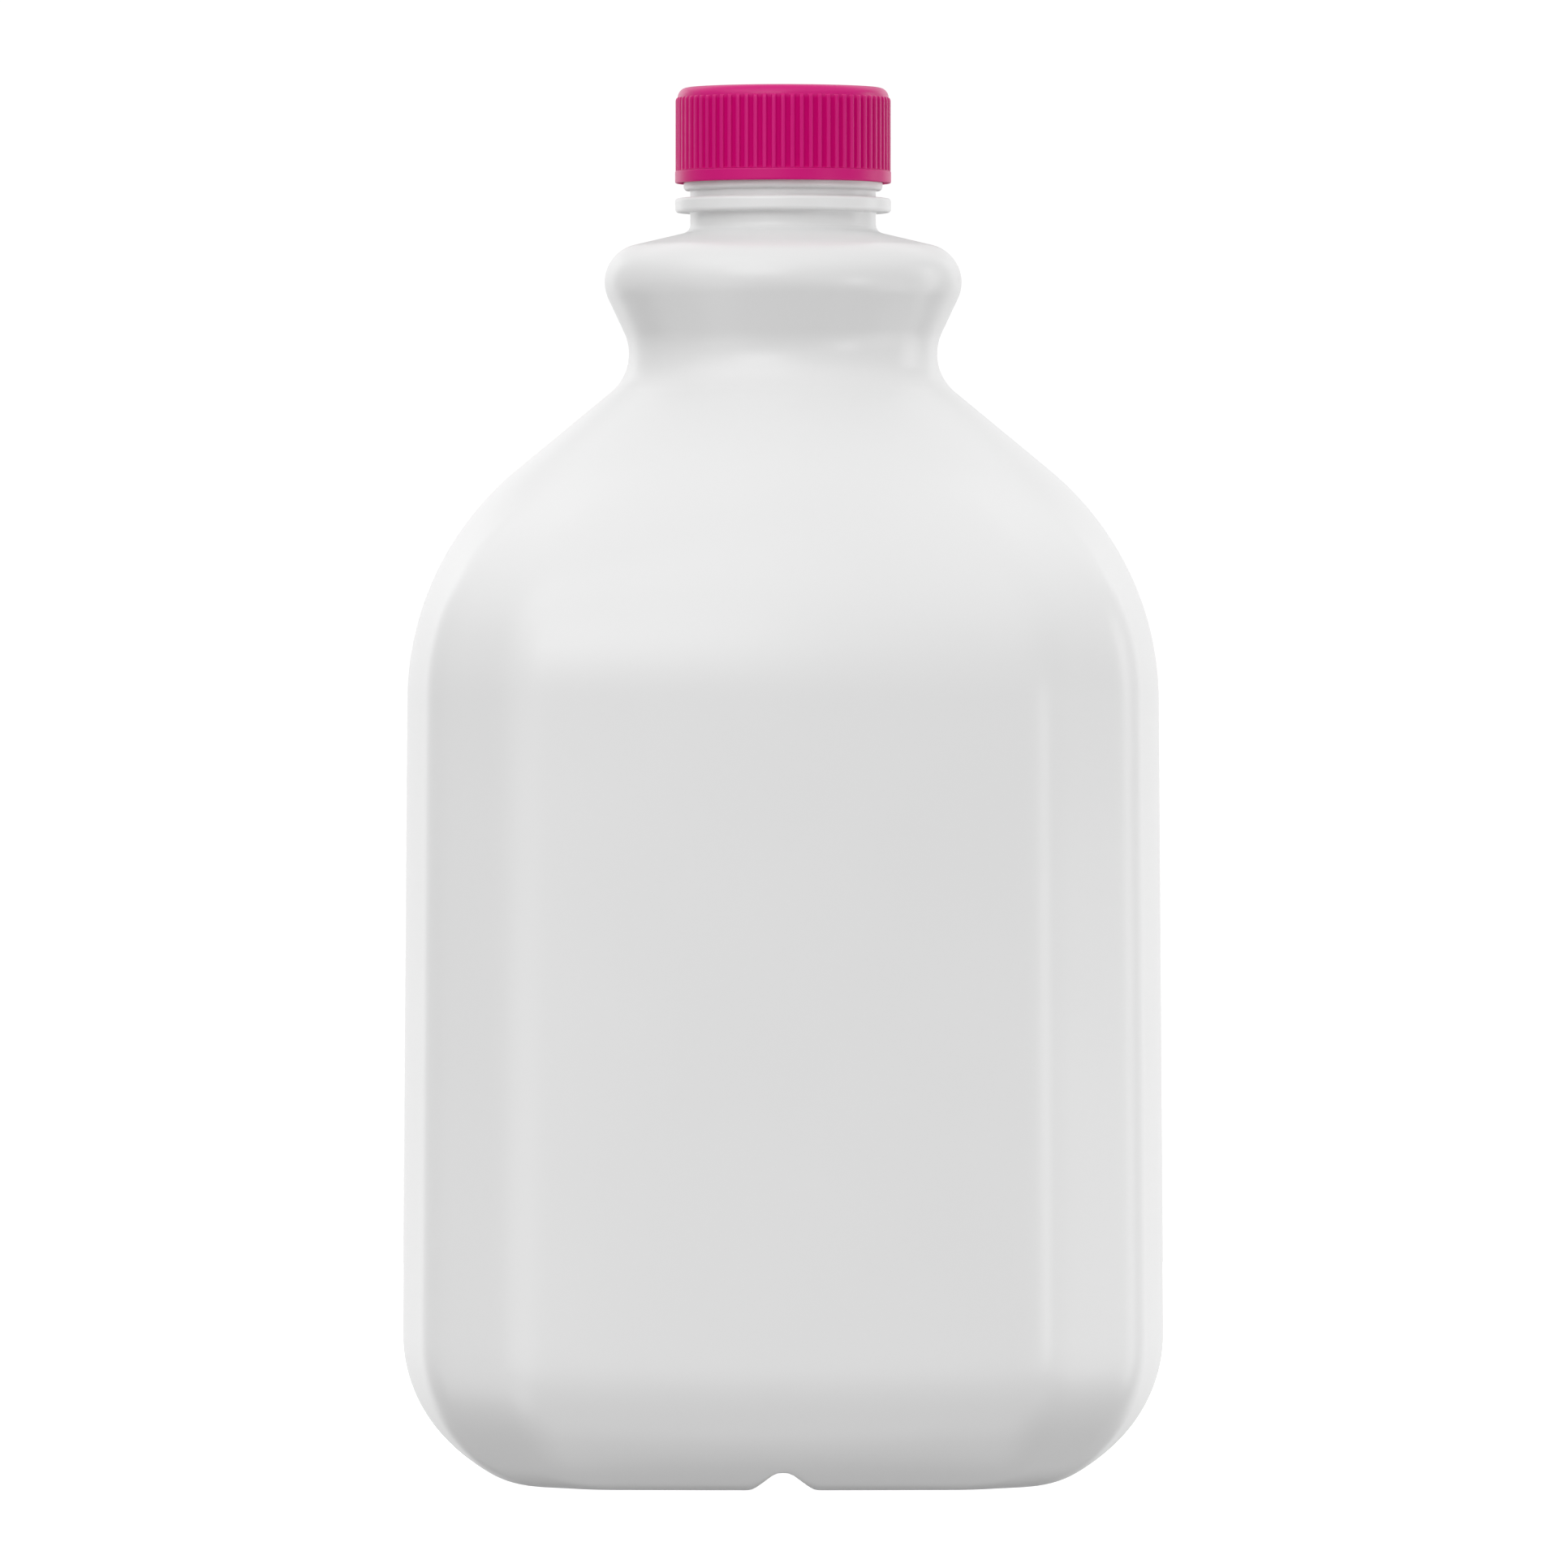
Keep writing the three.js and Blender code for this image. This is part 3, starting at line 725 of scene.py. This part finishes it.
def soft_box(name, azimuth, elevation, distance, width, height, watts):
    """A rectangular light aimed at the jug, from degrees right of the front and above level."""
    light = bpy.data.lights.new(name, "AREA")
    light.shape = "RECTANGLE"
    light.size, light.size_y = width, height
    light.energy = watts
    box = bpy.data.objects.new(name, light)
    turn, lift = math.radians(azimuth), math.radians(elevation)
    level = math.cos(lift)
    offset = Vector((math.sin(turn) * level, -math.cos(turn) * level, math.sin(lift)))
    box.location = JUG_MIDDLE + offset * distance
    box.rotation_euler = offset.to_track_quat("Z", "Y").to_euler()
    box.visible_camera = False
    bpy.context.scene.collection.objects.link(box)


# Wide keys above the front, fills close by, low lights for the foot, and tall strips that brighten
# the outline from the side and from behind. Degrees, then metres, then watts.
for name, azimuth, elevation, distance, width, height, watts in (
    ("key_left", -35, 38, 1.3, 1.60, 1.10, 4.2),
    ("key_front", 0, 42, 1.3, 2.40, 1.30, 2.1),
    ("key_low", -18, 22, 1.3, 0.80, 0.42, 2.0),
    ("spot_right", 48, -4, 1.3, 0.25, 0.30, 1.35),
    ("fill_left", -42, -12, 0.6, 0.40, 0.30, 0.34),
    ("fill_right", 42, -12, 0.6, 0.40, 0.30, 0.16),
    ("low_left", -55, -40, 0.6, 0.25, 0.20, 0.23),
    ("low_right", 78, -12, 0.6, 0.35, 0.30, 0.43),
    ("low_near_right", 50, -40, 0.6, 0.25, 0.20, 0.10),
    ("low_front", 0, -58, 1.3, 0.80, 0.60, 0.75),
    ("low_middle", 0, -78, 1.3, 1.00, 1.00, 2.3),
    ("low_back", 180, -60, 1.3, 1.20, 0.80, 0.5),
    ("low_side_left", -90, -25, 1.3, 0.60, 0.40, 0.75),
    ("low_side_right", 90, -25, 1.3, 0.60, 0.40, 0.3),
    ("side_right", 110, 0, 1.3, 0.35, 1.20, 2.8),
    ("rim_right", 148, 0, 1.3, 0.35, 1.20, 1.1),
    ("rim_left", -148, 0, 1.3, 0.35, 1.20, 1.5),
    ("back_right", 165, 0, 1.3, 0.35, 1.20, 0.9),
    ("back_left", -165, 0, 1.3, 0.35, 1.20, 1.1),
):
    soft_box(name, azimuth, elevation, distance, width, height, watts)

# The room is dark below, grey at the jug's height and pale overhead, and pale behind to the left
# and right. To the camera it shows white. Each row is the Z or the Y of a direction, and how bright
# the room is that way.
ROOM_BY_HEIGHT = (
    (-1.0, 0.0), (-0.9, 0.4), (-0.75, 0.0), (-0.35, 0.0),
    (-0.15, 0.435), (0.42, 0.435), (0.58, 0.85),
)
ROOM_BY_DEPTH = ((0.2, 0.0), (0.5, 0.12), (0.75, 0.53), (0.93, 0.0))
world = bpy.data.worlds.new("Studio")
world.use_nodes = True
bpy.context.scene.world = world
tree = world.node_tree
tree.nodes.clear()
towards = add_node(tree, "ShaderNodeSeparateXYZ", [add_node(tree, "ShaderNodeTexCoord")]).outputs
levels = []
for axis, rows in (("Z", ROOM_BY_HEIGHT), ("Y", ROOM_BY_DEPTH)):
    along = add_node(tree, "ShaderNodeMapRange", {
        "Value": towards[axis], "From Min": -1.0, "From Max": 1.0,
    })
    ramp = add_node(tree, "ShaderNodeValToRGB", [along])
    while len(ramp.color_ramp.elements) < len(rows):
        ramp.color_ramp.elements.new(0.5)
    for stop, (place, level) in zip(ramp.color_ramp.elements, rows):
        stop.position = place / 2 + 0.5
        stop.color = (level, level, level, 1)
    levels.append(ramp)
both = add_node(tree, "ShaderNodeMix", {
    "Factor": 1.0, MIX_A: levels[0], MIX_B: levels[1],
}, data_type="RGBA", blend_type="ADD").outputs[MIX_RESULT]
room = add_node(tree, "ShaderNodeBackground", {"Color": both})
behind = add_node(tree, "ShaderNodeBackground", {"Color": linear("FFFFFF"), "Strength": 1.05})
seen = add_node(tree, "ShaderNodeLightPath").outputs["Is Camera Ray"]
backdrop = add_node(tree, "ShaderNodeMixShader", [seen, room, behind])
add_node(tree, "ShaderNodeOutputWorld", [backdrop])
bpy.context.scene.view_settings.view_transform = "Standard"

# The camera stands level with the middle of the jug, far off behind a long lens
CAMERA_PLACE = (0.00018, -3.296, 0.1371)
LENS = 383.9
SENSOR = 36.0
lens = bpy.data.cameras.new("Camera")
lens.lens = LENS
lens.sensor_width = SENSOR
lens.clip_end = 50.0
camera = bpy.data.objects.new("Camera", lens)
camera.location = CAMERA_PLACE
camera.rotation_euler = (math.radians(90), 0, 0)
bpy.context.scene.collection.objects.link(camera)
bpy.context.scene.camera = camera
